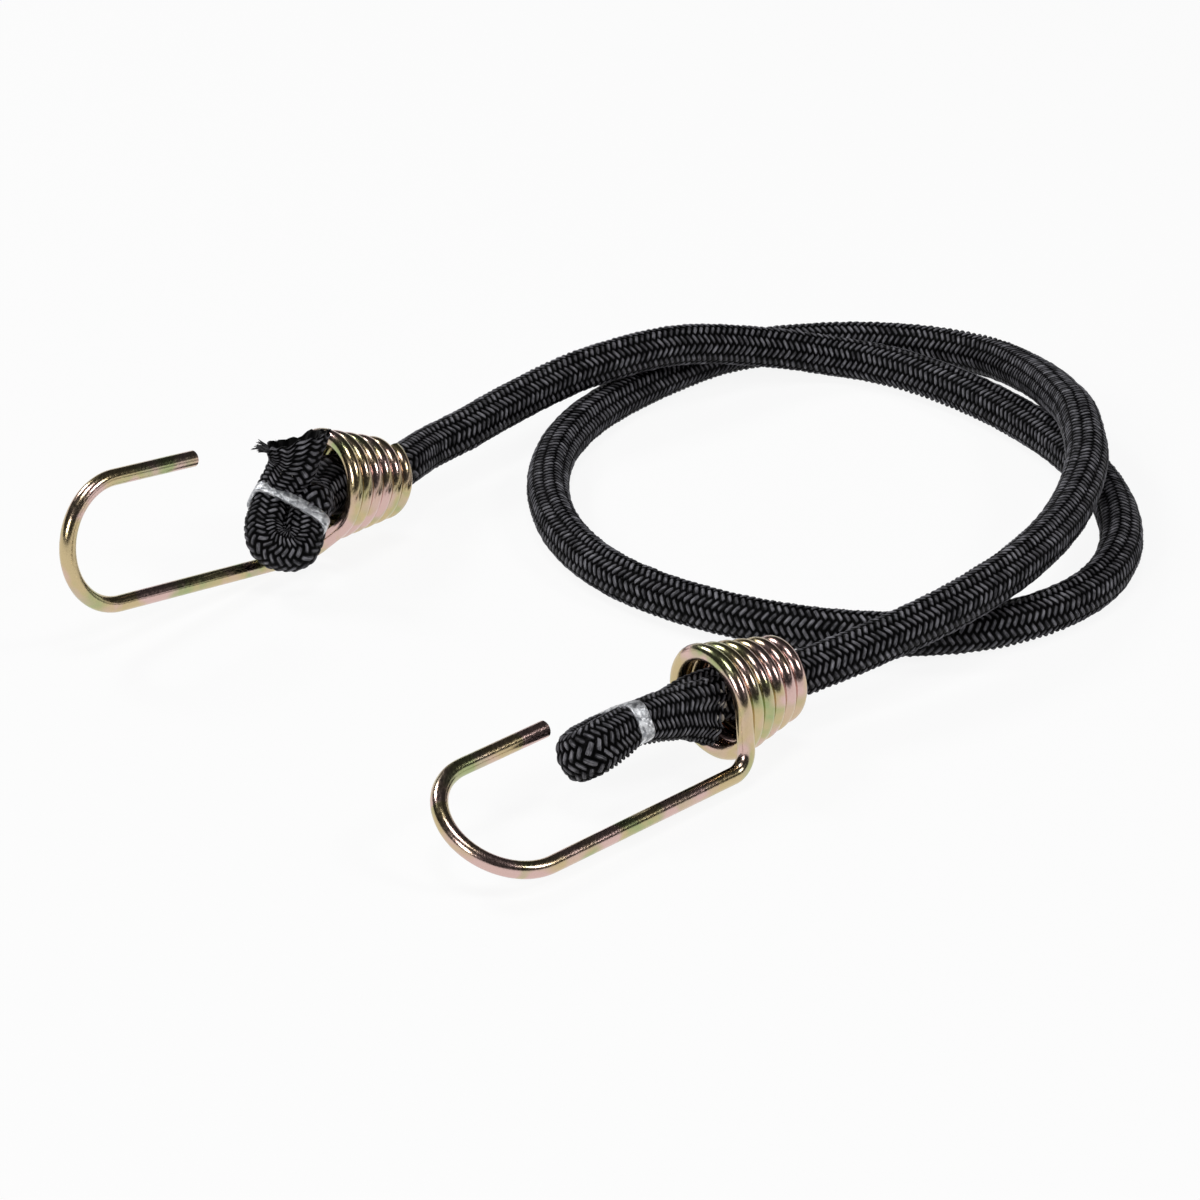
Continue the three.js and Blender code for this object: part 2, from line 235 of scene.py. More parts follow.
# The braid's grid follows that line: rows along the cord, each turned by half a step from
# the one before, so that the grid's two diagonals are the two ways the yarns run round it.
# The rows lie closer in the folded ends, where the sleeve is bunched up on its core.
YARNS_EACH_WAY = 12
YARN_LEAD = 19.0
CROSSING_STEPS = 4
ROW_POINTS = YARNS_EACH_WAY * CROSSING_STEPS
FOLD_BUNCHING = 0.7
BUNCHING_RUN = 12.0
fold_a_count = len(END_A["fold"])
fold_b_start = fold_a_count + len(ROUTE)
fold_a_reach = dense_reach[(fold_a_count - 1) * SPAN_STEPS]
fold_b_reach = dense_reach[fold_b_start * SPAN_STEPS]
bunch_places = [fold_a_reach - BUNCHING_RUN, fold_a_reach]
bunch_places += [fold_b_reach, fold_b_reach + BUNCHING_RUN]
dense_bunching = np.interp(dense_reach, bunch_places, [FOLD_BUNCHING, 1, 1, FOLD_BUNCHING])
dense_row_step = YARN_LEAD / (2 * ROW_POINTS) * dense_bunching
dense_row = np.r_[0, np.cumsum(np.diff(dense_reach) / dense_row_step[1:])]
last_row = int(round(dense_row[-1]))
dense_row *= last_row / dense_row[-1]
row_reach = np.interp(np.arange(last_row + 1), dense_row, dense_reach)


def along_rows(values):
    """Values of the dense line at the rows of the grid."""
    columns = [np.interp(row_reach, dense_reach, values[:, k]) for k in range(values.shape[1])]
    return np.column_stack(columns)


def row_of(control):
    """Row of the grid at one of the line's control points."""
    return int(round(dense_row[round(control * SPAN_STEPS)]))


row_middle = along_rows(dense_line)
row_sizes = along_rows(dense_sizes)
row_along = np.gradient(row_middle, axis=0)
row_along /= np.linalg.norm(row_along, axis=1)[:, None]
SPLIT_ROW_A = row_of(fold_a_count - 1)
SPLIT_ROW_B = row_of(fold_b_start)
PULLED_ROW_A = row_of(fold_a_count + PULLED_FROM_A)
MIDDLE_ROW = row_of(fold_a_count + LOOP_MIDDLE)
PULLED_ROW_B = row_of(fold_a_count + PULLED_FROM_B)


def squared(side, along):
    """A side direction made square to the line."""
    return unit(side - side.dot(along) * along)


row_wide = np.zeros_like(row_middle)
wide_side_a = fold_axes(END_A)[1] @ np.array(END_A["width_side"])
wide_side_b = fold_axes(END_B)[1] @ np.array(END_B["width_side"])
for row in range(last_row + 1):
    if row <= SPLIT_ROW_A:
        row_wide[row] = squared(wide_side_a, row_along[row])
    elif row <= SPLIT_ROW_B:
        row_wide[row] = squared(row_wide[row - 1], row_along[row])
    else:
        row_wide[row] = squared(wide_side_b, row_along[row])
carried = row_wide[SPLIT_ROW_B]
wanted = squared(wide_side_b, row_along[SPLIT_ROW_B])
leftover = math.atan2(np.cross(carried, wanted).dot(row_along[SPLIT_ROW_B]), carried.dot(wanted))
free_rows = np.arange(SPLIT_ROW_A, SPLIT_ROW_B + 1)
free_turn = leftover * (free_rows - SPLIT_ROW_A) / (SPLIT_ROW_B - SPLIT_ROW_A)
free_side = np.cross(row_along[free_rows], row_wide[free_rows])
free_wide = row_wide[free_rows] * np.cos(free_turn)[:, None]
row_wide[free_rows] = free_wide + free_side * np.sin(free_turn)[:, None]
row_thick = np.cross(row_wide, row_along)


# Braided sleeve of the free cord: twelve and twelve black nylon yarns in a two-over-two
# braid, so slack that the yarns run steeply round the cord. It is one sleeve, made here in
# four lengths: one that each hook pulls out, and two of the loop between.
RELIEF = 0.55
CROWN_PROUD = 0.06
RELIEF_SPREAD = 0.16
CROWN_FULLNESS = 0.9
ARCH_FULLNESS = 0.6
YARN_ANGLE = math.radians(62.4)
YARN_STEP = YARN_LEAD / (2 * YARNS_EACH_WAY) / math.cos(YARN_ANGLE)
LUCK_SEED = 7
LUCK_COUNT = 997
LUCK_COLUMNS = 6
COLUMN_STRIDE = 131
YARN_STRIDE = 7
WAY_STRIDE = 53
yarn_luck = np.random.default_rng(LUCK_SEED).uniform(-1, 1, LUCK_COUNT)


def float_of(i, j):
    """Whether a yarn of the first way is on top at grid points, and their cells' numbers."""
    cell_p = i // CROSSING_STEPS
    cell_q = j // CROSSING_STEPS
    order = (cell_p + cell_q) % 4
    return order < 2, cell_p, cell_q, order


def yarn_rise(i, j):
    """Height of the braid over its valleys, from 0 to about 1: each float is a long pillow."""
    first_way, cell_p, cell_q, order = float_of(i, j)
    share_p = (i % CROSSING_STEPS) / CROSSING_STEPS
    share_q = (j % CROSSING_STEPS) / CROSSING_STEPS
    across = np.where(first_way, share_q, share_p)
    along = np.where(first_way, order + share_p, order - 2 + share_q) / 2
    column = (cell_p + cell_q) // 4
    yarn = np.where(first_way, cell_q, cell_p) - 2 * column
    draw = (column % LUCK_COLUMNS) * COLUMN_STRIDE + yarn * YARN_STRIDE + first_way * WAY_STRIDE
    luck = yarn_luck[draw % LUCK_COUNT]
    crown = np.maximum(0, 1 - (2 * across - 1) ** 2) ** CROWN_FULLNESS
    arch = np.maximum(0, 1 - (2 * along - 1) ** 4) ** ARCH_FULLNESS
    return crown * arch * (1 + RELIEF_SPREAD * luck)


CUT_ROWS = 62
CUT_LOW_SIDE_A = np.array([-2.3, 0.0, 0.0])
CUT_LOW_SIDE_B = np.array([0.0, 0.0, -1.7])
CUT_WAVES = ((0.45, 3, 1.1), (0.3, 7, 0.0), (0.3, 13, 2.0))
TABLE_CLEARANCE = 0.01


def cut_shift(rows, off, angle):
    """How far points off the middle move along the cord for the two uneven slanting cuts."""
    ragged = sum(depth * np.sin(waves * angle + start) for depth, waves, start in CUT_WAVES)
    back_a = off @ CUT_LOW_SIDE_A / CORD_RADIUS + ragged
    back_b = off @ CUT_LOW_SIDE_B / CORD_RADIUS + ragged
    fade_a = np.clip(1 - rows / CUT_ROWS, 0, 1)
    fade_b = np.clip(1 - (last_row - rows) / CUT_ROWS, 0, 1)
    return fade_a * back_a - fade_b * back_b


def braid_rows(rows):
    """Points of those rows of the sleeve, and their rise."""
    count = np.arange(ROW_POINTS)
    around = 2 * count[None, :] + (rows[:, None] % 2)
    rise = yarn_rise((around + rows[:, None]) // 2, (around - rows[:, None]) // 2)
    angle = math.pi * around / ROW_POINTS
    half_thick = row_sizes[rows, 0][:, None]
    half_wide = row_sizes[rows, 1][:, None]
    lift = RELIEF * (rise - 1) + CROWN_PROUD
    out_thick = np.cos(angle) / half_thick
    out_wide = np.sin(angle) / half_wide
    out_long = np.hypot(out_thick, out_wide)
    in_thick = half_thick * np.cos(angle) + lift * out_thick / out_long
    in_wide = half_wide * np.sin(angle) + lift * out_wide / out_long
    off = in_thick[:, :, None] * row_thick[rows][:, None, :]
    off = off + in_wide[:, :, None] * row_wide[rows][:, None, :]
    drawn_back = cut_shift(rows[:, None], off, angle)[:, :, None] * row_along[rows][:, None, :]
    points = row_middle[rows][:, None, :] + off + drawn_back
    points[:, :, 2] = np.maximum(points[:, :, 2], TABLE_CLEARANCE)
    return points, rise


SECOND_WAY_SHIFT = 500


def yarn_map(i, j, step_i, step_j):
    """Map of a cell's corner: length along its own yarn, and place across it."""
    first_way, cell_p, cell_q, _ = float_of(i, j)
    share_p = (i % CROSSING_STEPS + step_i) / CROSSING_STEPS
    share_q = (j % CROSSING_STEPS + step_j) / CROSSING_STEPS
    along = np.where(first_way, cell_p + share_p, cell_q + share_q) * YARN_STEP
    across = np.where(first_way, cell_q + share_q, cell_p + share_p + SECOND_WAY_SHIFT)
    return np.stack([along, across], axis=-1)


def mesh_piece(name, points, faces, face_map=None):
    """New object from points in millimetres and a list of face arrays, smooth, at the origin."""
    mesh = bpy.data.meshes.new(name)
    mesh.vertices.add(len(points))
    mesh.vertices.foreach_set("co", (np.asarray(points) * MM).astype(np.float32).ravel())
    corners = np.concatenate([block.ravel() for block in faces]).astype(np.int32)
    sizes = np.concatenate([np.full(len(block), block.shape[1]) for block in faces])
    mesh.loops.add(len(corners))
    mesh.loops.foreach_set("vertex_index", corners)
    mesh.polygons.add(len(sizes))
    starts = np.r_[0, np.cumsum(sizes)[:-1]].astype(np.int32)
    mesh.polygons.foreach_set("loop_start", starts)
    mesh.polygons.foreach_set("use_smooth", np.ones(len(sizes), bool))
    mesh.update(calc_edges=True)
    if face_map is not None:
        layer = mesh.uv_layers.new(name="yarn")
        flat = np.concatenate([block.reshape(-1, 2) for block in face_map])
        layer.uv.foreach_set("vector", flat.astype(np.float32).ravel())
    piece = bpy.data.objects.new(name, mesh)
    bpy.context.scene.collection.objects.link(piece)
    return piece


HOLE_DEPTH_ROWS = 48
HOLE_SHARE = 0.84


def braid_piece(name, first, last, open_at=None):
    """A length of the sleeve, closed at both ends; an open end is turned in to a shallow hole."""
    rows = np.arange(first, last + 1)
    points, rise = braid_rows(rows)
    points = points.reshape(-1, 3)
    rise = rise.ravel()
    inner = rows[:, None] * np.ones(ROW_POINTS, int)[None, :]
    count = np.arange(ROW_POINTS)[None, :]
    odd = inner % 2
    left = (count - odd) % ROW_POINTS
    right = (count + 1 - odd) % ROW_POINTS
    centre = 2 * count + (1 - odd)
    i = (centre - 1 + inner) // 2
    j = (centre - 1 - inner) // 2
    base = (inner - first) * ROW_POINTS
    corner = {
        "left": (base + left, yarn_map(i, j, 0, 0)),
        "down": (base - ROW_POINTS + count, yarn_map(i, j, 0, 1)),
        "right": (base + right, yarn_map(i, j, 1, 1)),
        "up": (base + ROW_POINTS + count, yarn_map(i, j, 1, 0)),
    }
    faces = []
    face_map = []
    for part, names in (
        (slice(1, -1), ("left", "down", "right", "up")),
        (slice(0, 1), ("left", "right", "up")),
        (slice(-1, None), ("left", "down", "right")),
    ):
        faces.append(np.stack([corner[n][0][part].ravel() for n in names], axis=1))
        face_map.append(np.stack([corner[n][1][part].reshape(-1, 2) for n in names], axis=1))
    ring = np.arange(ROW_POINTS)
    for end, row, facing in (("first", first, -1), ("last", last, 1)):
        edge = ring + (row - first) * ROW_POINTS
        if end == open_at:
            for deeper in (0, HOLE_DEPTH_ROWS):
                hole_row = row - facing * deeper
                hole = braid_rows(np.array([hole_row]))[0][0] - row_middle[hole_row]
                hole = row_middle[hole_row] + hole * HOLE_SHARE
                new_edge = ring + len(points)
                points = np.vstack([points, hole])
                rise = np.r_[rise, np.zeros(ROW_POINTS)]
                band = [edge, np.roll(edge, -1), np.roll(new_edge, -1), new_edge]
                faces.append(np.stack(band, axis=1)[:, ::facing])
                face_map.append(np.zeros((ROW_POINTS, 4, 2)))
                edge = new_edge
        faces.append(edge[::facing][None, :])
        face_map.append(np.zeros((1, ROW_POINTS, 2)))
    piece = mesh_piece(name, points, faces, face_map)
    # Height over the valleys, which drives the material's painted highlight and painted shade.
    crown = piece.data.attributes.new("crown", "FLOAT", "POINT")
    crown.data.foreach_set("value", rise.astype(np.float32))
    return piece


def new_material(name):
    """Material with its Principled shader; returns the material, its nodes, links and shader."""
    material = bpy.data.materials.new(name)
    material.use_nodes = True
    nodes = material.node_tree.nodes
    shader = next(node for node in nodes if node.type == "BSDF_PRINCIPLED")
    return material, nodes, material.node_tree.links, shader


def noise_mask(nodes, links, place, scale, detail):
    """Mask of a noise texture at a coordinate socket."""
    node = nodes.new("ShaderNodeTexNoise")
    node.inputs["Scale"].default_value = scale
    node.inputs["Detail"].default_value = detail
    links.new(place, node.inputs["Vector"])
    return node.outputs["Fac"]


def ramped(nodes, links, mask, *stops):
    """Colour of a mask through (place, colour) stops; a plain number is a grey."""
    node = nodes.new("ShaderNodeValToRGB")
    links.new(mask, node.inputs["Fac"])
    elements = node.color_ramp.elements
    while len(elements) < len(stops):
        elements.new(0.5)
    for element, (place, colour) in zip(elements, stops):
        if isinstance(colour, (int, float)):
            colour = (colour, colour, colour)
        element.position = place
        element.color = (*colour, 1.0)
    return node.outputs["Color"]


def bumped(nodes, links, shader, mask, strength, distance):
    """Bump of a mask on the shader's normal."""
    node = nodes.new("ShaderNodeBump")
    node.inputs["Strength"].default_value = strength
    node.inputs["Distance"].default_value = distance
    links.new(mask, node.inputs["Height"])
    links.new(node.outputs["Normal"], shader.inputs["Normal"])


# Black braid: the yarn's colour is mostly painted light on its relief, driven by each float's
# height: a painted highlight on the crowns, painted shade in the valleys, and a near-black on the
# sides between. The shader's own gloss is kept very low.
VALLEY_PAINTED_SHADE = (0.0003, 0.0003, 0.0004)
YARN_SIDE = (0.008, 0.008, 0.0095)
CROWN_PAINTED_HIGHLIGHT = (0.36, 0.355, 0.39)
braid_black, nodes, links, shader = new_material("black_braid")
yarn_place = nodes.new("ShaderNodeUVMap")
yarn_place.uv_map = "yarn"
filament_grid = nodes.new("ShaderNodeMapping")
filament_grid.inputs["Scale"].default_value = (0.35, 8.0, 1.0)
links.new(yarn_place.outputs["UV"], filament_grid.inputs["Vector"])
filaments = noise_mask(nodes, links, filament_grid.outputs["Vector"], scale=1.0, detail=3.0)
cord_place = nodes.new("ShaderNodeTexCoord")
# Painted sheen: a noise that darkens the yarn's colour in patches, so that its painted highlight
# looks uneven; the filament grain breaks it up too.
painted_sheen_noise = noise_mask(nodes, links, cord_place.outputs["Object"], scale=620.0, detail=2.0)
crown_height = nodes.new("ShaderNodeAttribute")
crown_height.attribute_name = "crown"
painted_light_mask = crown_height.outputs["Fac"]
painted_light_stops = ((0.2, VALLEY_PAINTED_SHADE), (0.58, YARN_SIDE), (1.0, CROWN_PAINTED_HIGHLIGHT))
painted_yarn_colour = ramped(nodes, links, painted_light_mask, *painted_light_stops)
filament_shade = ramped(nodes, links, filaments, (0.34, 0.25), (0.66, 1.0))
painted_sheen_shade = ramped(nodes, links, painted_sheen_noise, (0.36, 0.35), (0.62, 1.0))
for shade in (filament_shade, painted_sheen_shade):
    darkened = nodes.new("ShaderNodeMix")
    darkened.data_type = "RGBA"
    darkened.blend_type = "MULTIPLY"
    darkened.inputs["Factor"].default_value = 1.0
    links.new(painted_yarn_colour, darkened.inputs["A"])
    links.new(shade, darkened.inputs["B"])
    painted_yarn_colour = darkened.outputs["Result"]
yarn_gloss = ramped(nodes, links, filaments, (0.3, 0.52), (0.7, 0.36))
links.new(painted_yarn_colour, shader.inputs["Base Color"])
links.new(yarn_gloss, shader.inputs["Roughness"])
bumped(nodes, links, shader, filaments, strength=0.45, distance=0.00012)
shader.inputs["Specular IOR Level"].default_value = 0.04

free_lengths = (
    ("cord_end_a", SPLIT_ROW_A, PULLED_ROW_A),
    ("cord_loop_near", PULLED_ROW_A, MIDDLE_ROW),
    ("cord_loop_far", MIDDLE_ROW, PULLED_ROW_B),
    ("cord_end_b", PULLED_ROW_B, SPLIT_ROW_B),
)
cord_nodes = ["cord_cover"] + [f"cord_strand_{k}" for k in range(1, 8)]
for name, first, last in free_lengths:
    piece = braid_piece(name, first, last)
    piece.data.materials.append(braid_black)
    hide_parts(*cord_nodes)
    if name == "cord_end_a":
        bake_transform(piece)
    elif name == "cord_end_b":
        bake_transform(piece)
    else:
        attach(piece, "cord")


# Folded ends: the same sleeve, drawn through its coil, bunched up inside it, folded over and
# pinched by the clip. End A is bent into a tight ball with its cut tail standing up, and end
# B is folded flat, so that neither can slip back through the coil.
for name, first, last, open_at, body, letter in (
    ("fold_a", 0, SPLIT_ROW_A, "first", "end_a", "a"),
    ("fold_b", SPLIT_ROW_B, last_row, "last", "end_b", "b"),
):
    piece = braid_piece(name, first, last, open_at)
    piece.data.materials.append(braid_black)
    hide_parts(f"knot_{letter}_cover")
    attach(piece, body)


# Cut ends of the latex core: thin round rubber strands packed in the sleeve and cut across
# with it. At end A they are drawn back inside, at end B they stand a little proud.
STRAND_RADIUS = 0.8
STRAND_SPACING = 0.18135
STRAND_CIRCLES = (1, 6, 12)
CIRCLE_TWIST = 0.2
STRAND_SIDES = 10
STRAND_DEPTH = 2.0
STRAND_ROUNDING = 0.15
STRAND_FACE_SHARE = 0.82
SHORTEST_STRAND = -0.35
LONGEST_STRAND = 0.25
CORE_ROW_A = 43
CORE_PROUD_A = 0.3
CORE_PROUD_B = 0.9
LATEX_DULL = (0.50, 0.46, 0.40)
LATEX_PALE = (0.70, 0.67, 0.62)
latex, nodes, links, shader = new_material("latex_strands")
strand_place = nodes.new("ShaderNodeTexCoord")
grain = noise_mask(nodes, links, strand_place.outputs["Object"], scale=900.0, detail=4.0)
strand_colour = ramped(nodes, links, grain, (0.3, LATEX_DULL), (0.7, LATEX_PALE))
strand_gloss = ramped(nodes, links, grain, (0.3, 0.5), (0.7, 0.72))
links.new(strand_colour, shader.inputs["Base Color"])
links.new(strand_gloss, shader.inputs["Roughness"])
bumped(nodes, links, shader, grain, strength=0.4, distance=0.0002)


def close_ring_tube(rings):
    """Points and faces of a tube through equal rings, capped at both ends."""
    sides = len(rings[0])
    points = np.vstack(rings)
    around = np.arange(sides)
    quads = []
    for level in range(len(rings) - 1):
        low = around + level * sides
        high = low + sides
        quads.append(np.stack([low, np.roll(low, -1), np.roll(high, -1), high], axis=1))
    first_cap = around[::-1][None, :]
    last_cap = (around + (len(rings) - 1) * sides)[None, :]
    return points, [np.vstack(quads), first_cap, last_cap]


def joined(parts):
    """Several (points, faces) as one, face arrays of like size put together."""
    points = []
    by_size = {}
    count = 0
    for part_points, part_faces in parts:
        for block in part_faces:
            by_size.setdefault(block.shape[1], []).append(block + count)
        points.append(part_points)
        count += len(part_points)
    return np.vstack(points), [np.vstack(blocks) for blocks in by_size.values()]


def core_end(name, row, outward, proud, body, letter):
    """Stubs of the strands at a cut end, packed in circles."""
    luck = random.Random(name)
    along = row_along[row] * outward
    thick = row_thick[row] * row_sizes[row, 0] * 2
    wide = row_wide[row] * row_sizes[row, 1] * 2
    angles = 2 * math.pi * np.arange(STRAND_SIDES) / STRAND_SIDES
    across = np.cos(angles)[:, None] * unit(thick)
    across = across + np.sin(angles)[:, None] * unit(wide) * outward
    stubs = []
    for circle, count in enumerate(STRAND_CIRCLES):
        for k in range(count):
            turn = 2 * math.pi * k / count + CIRCLE_TWIST * circle
            off = circle * STRAND_SPACING * (thick * math.cos(turn) + wide * math.sin(turn))
            uneven = luck.uniform(SHORTEST_STRAND, LONGEST_STRAND)
            top = proud + uneven + outward * cut_shift(row, off, turn)
            rings = []
            for height, share in (
                (top - STRAND_DEPTH, 1.0),
                (top - STRAND_ROUNDING, 1.0),
                (top, STRAND_FACE_SHARE),
            ):
                level = row_middle[row] + off + along * height
                rings.append(level + across * STRAND_RADIUS * share)
            stubs.append(close_ring_tube(rings))
    piece = mesh_piece(name, *joined(stubs))
    piece.data.materials.append(latex)
    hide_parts(*[f"knot_{letter}_strand_{k}" for k in range(1, 8)])
    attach(piece, body)


core_end("core_end_a", CORE_ROW_A, -1, CORE_PROUD_A, "end_a", "a")
core_end("core_end_b", last_row, 1, CORE_PROUD_B, "end_b", "b")


# Frayed yarn at the two cut ends: loose nylon filaments that stand out of the sleeve's rim,
# with one longer tuft at the side of the upright tail.
FIBRE_RADIUS = 0.17
TUFT_RADIUS = 0.34
FIBRE_SHARES = ((0.0, 1.0), (0.35, 0.9), (0.7, 0.65), (1.0, 0.15))
FIBRE_SWAY = 0.22
ROOT_DEPTH = 0.6
FRAY_DARK = (0.006, 0.006, 0.007)
FRAY_PALE = (0.022, 0.022, 0.025)
filament_black, nodes, links, shader = new_material("loose_filaments")
fray_place = nodes.new("ShaderNodeTexCoord")
fray_noise = noise_mask(nodes, links, fray_place.outputs["Object"], scale=700.0, detail=2.0)
fray_colour = ramped(nodes, links, fray_noise, (0.3, FRAY_DARK), (0.7, FRAY_PALE))
fray_gloss = ramped(nodes, links, fray_noise, (0.3, 0.6), (0.7, 0.42))
links.new(fray_colour, shader.inputs["Base Color"])
links.new(fray_gloss, shader.inputs["Roughness"])


def fibre(luck, root, along, side, length, radius):
    """One bent, tapering filament of three sides."""
    bow = side * luck.uniform(-0.5, 1.0) * length
    cross = unit(np.cross(along, side))
    rings = []
    for share, thin in FIBRE_SHARES:
        middle = root + along * length * share + bow * share**2 * 0.5
        ring = []
        for k in range(3):
            turn = 2 * math.pi * k / 3
            ring.append(middle + (side * math.cos(turn) + cross * math.sin(turn)) * radius * thin)
        rings.append(np.array(ring))
    return close_ring_tube(rings)


def fray(name, row, outward, count, longest, tufts, body):
    """Filaments round the rim of a cut end; tufts are (angle, spread, count, length)."""
    luck = random.Random(name)
    along = row_along[row] * outward
    fibres = []
    wanted = []
    for _ in range(count):
        angle = luck.uniform(0, 2 * math.pi)
        length = luck.uniform(0.3, 1.0) * longest
        lean = luck.uniform(-0.1, 0.25)
        wanted.append((angle, length, lean, FIBRE_RADIUS))
    for middle, spread, number, tuft_length in tufts:
        for _ in range(number):
            angle = luck.gauss(middle, spread)
            length = luck.uniform(0.5, 1.0) * tuft_length
            lean = luck.uniform(3.0, 8.0)
            wanted.append((angle, length, lean, TUFT_RADIUS))
    for angle, length, lean, radius in wanted:
        side = unit(row_thick[row] * math.cos(angle) + row_wide[row] * math.sin(angle))
        rim = row_thick[row] * row_sizes[row, 0] * math.cos(angle)
        rim = rim + row_wide[row] * row_sizes[row, 1] * math.sin(angle)
        root = row_middle[row] + rim * luck.uniform(0.86, 0.97) - along * ROOT_DEPTH
        root = root + cut_shift(row, rim, angle) * row_along[row]
        sway = np.array([luck.gauss(0, FIBRE_SWAY) for _ in range(3)])
        heading = unit(along + side * lean + sway)
        across = squared(side, heading)
        fibres.append(fibre(luck, root, heading, across, length + ROOT_DEPTH, radius))
    piece = mesh_piece(name, *joined(fibres))
    piece.data.materials.append(filament_black)
    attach(piece, body)


TUFT_A = (2.95, 0.1, 40, 2.6)
fray("fray_a", 0, -1, 24, 0.3, (TUFT_A,), "end_a")
fray("fray_b", last_row, 1, 60, 0.7, (), "end_b")


# Wire hooks: each is one length of 3.5 mm spring wire, wound into a tapering coil of five
# turns and a third, bent sharply at the mouth and run out into a shank, a round bend and a
# tip. The wire is zinc plated and yellow passivated, so its gold goes olive and pink.
WIRE_RADIUS = 1.75
COIL_STEPS = 60
COIL_POINTS = 320
COIL_PITCH = 3.56
COIL_LENGTH = COIL_PITCH * COIL_POINTS / COIL_STEPS
MOUTH_RADIUS = 11.0
NARROW_RADIUS = 7.05
LEAVE_ANGLE = math.radians(38)
CORNER = np.array([0.83, 15.36, -2.3])
CORNER_BEND_RADIUS = 4.5
CORNER_STEPS = 14
SHANK_LENGTH = 54.5
SHANK_STEPS = 14
HOOK_RADIUS = 13.5
HOOK_STEPS = 48
TIP_LENGTH = 22.25
TIP_STEPS = 8
TOE_TO_SHANK = 0.082
TOE_SIDEWAYS = -0.047


def wire_path():
    """Middle line of the wire in an end's own axes, from the narrow end's cut to the tip's."""
    path = []
    for i in range(COIL_POINTS, -1, -1):
        share = i / COIL_POINTS
        angle = LEAVE_ANGLE + 2 * math.pi * i / COIL_STEPS
        radius = MOUTH_RADIUS + (NARROW_RADIUS - MOUTH_RADIUS) * share
        along = -COIL_LENGTH * share
        path.append(np.array([along, radius * math.cos(angle), radius * math.sin(angle)]))
    toe = Matrix.Rotation(TOE_SIDEWAYS, 3, "Y") @ Matrix.Rotation(TOE_TO_SHANK, 3, "Z")
    toe = np.array(toe)

    def in_hook(along, across):
        return toe @ np.array([along, across, 0.0]) + CORNER

    arriving = unit(CORNER - path[-1])
    leaving = unit(in_hook(1, 0) - CORNER)
    turned = math.acos(arriving.dot(leaving))
    reach = CORNER_BEND_RADIUS * math.tan(turned / 2)
    middle = CORNER + unit(leaving - arriving) * CORNER_BEND_RADIUS / math.cos(turned / 2)
    arm_in = CORNER - arriving * reach - middle
    arm_out = CORNER + leaving * reach - middle
    for i in range(CORNER_STEPS + 1):
        share = i / CORNER_STEPS
        point = middle + arm_in * math.sin((1 - share) * turned) / math.sin(turned)
        path.append(point + arm_out * math.sin(share * turned) / math.sin(turned))
    start = path[-1]
    for i in range(1, SHANK_STEPS):
        path.append(start + (in_hook(SHANK_LENGTH, 0) - start) * i / SHANK_STEPS)
    for i in range(HOOK_STEPS + 1):
        angle = math.pi * i / HOOK_STEPS
        along = SHANK_LENGTH + HOOK_RADIUS * math.sin(angle)
        path.append(in_hook(along, HOOK_RADIUS * (math.cos(angle) - 1)))
    for i in range(1, TIP_STEPS + 1):
        path.append(in_hook(SHANK_LENGTH - TIP_LENGTH * i / TIP_STEPS, -2 * HOOK_RADIUS))
    return np.array(path)


def surface_wear():
    """Node group: masks of the fine scratches and blotches of a handled metal."""
    group = bpy.data.node_groups.new("handled_metal", "ShaderNodeTree")
    for name, way in (
        ("Blotch Scale", "INPUT"),
        ("Scratch Scale", "INPUT"),
        ("Blotches", "OUTPUT"),
        ("Patches", "OUTPUT"),
        ("Scratches", "OUTPUT"),
    ):
        group.interface.new_socket(name, in_out=way, socket_type="NodeSocketFloat")
    nodes = group.nodes
    links = group.links
    inlet = nodes.new("NodeGroupInput")
    outlet = nodes.new("NodeGroupOutput")
    place = nodes.new("ShaderNodeTexCoord")
    for output, detail, turn in (("Blotches", 3.0, 0.0), ("Patches", 2.0, 1.3)):
        shift = nodes.new("ShaderNodeMapping")
        shift.inputs["Rotation"].default_value = (turn, turn, 0.0)
        links.new(place.outputs["Object"], shift.inputs["Vector"])
        noise = nodes.new("ShaderNodeTexNoise")
        noise.inputs["Detail"].default_value = detail
        noise.inputs["Distortion"].default_value = 0.6
        links.new(shift.outputs["Vector"], noise.inputs["Vector"])
        links.new(inlet.outputs["Blotch Scale"], noise.inputs["Scale"])
        links.new(noise.outputs["Fac"], outlet.inputs[output])
    stretch = nodes.new("ShaderNodeMapping")
    stretch.inputs["Rotation"].default_value = (0.4, 0.9, 0.8)
    stretch.inputs["Scale"].default_value = (1.0, 0.12, 1.0)
    links.new(place.outputs["Object"], stretch.inputs["Vector"])
    scratch = nodes.new("ShaderNodeTexNoise")
    scratch.inputs["Detail"].default_value = 4.0
    links.new(stretch.outputs["Vector"], scratch.inputs["Vector"])
    links.new(inlet.outputs["Scratch Scale"], scratch.inputs["Scale"])
    links.new(scratch.outputs["Fac"], outlet.inputs["Scratches"])
    return group


handled_metal = surface_wear()


def wear_node(nodes, blotch_scale, scratch_scale):
    """The handled-metal group in a material, at that metal's own scales."""
    node = nodes.new("ShaderNodeGroup")
    node.node_tree = handled_metal
    node.inputs["Blotch Scale"].default_value = blotch_scale
    node.inputs["Scratch Scale"].default_value = scratch_scale
    return node


def mixed(nodes, links, share, first, second):
    """Colour mix of two sockets or colours by a share socket."""
    node = nodes.new("ShaderNodeMix")
    node.data_type = "RGBA"
    links.new(share, node.inputs["Factor"])
    for socket, value in (("A", first), ("B", second)):
        if isinstance(value, tuple):
            node.inputs[socket].default_value = (*value, 1.0)
        else:
            links.new(value, node.inputs[socket])
    return node.outputs["Result"]


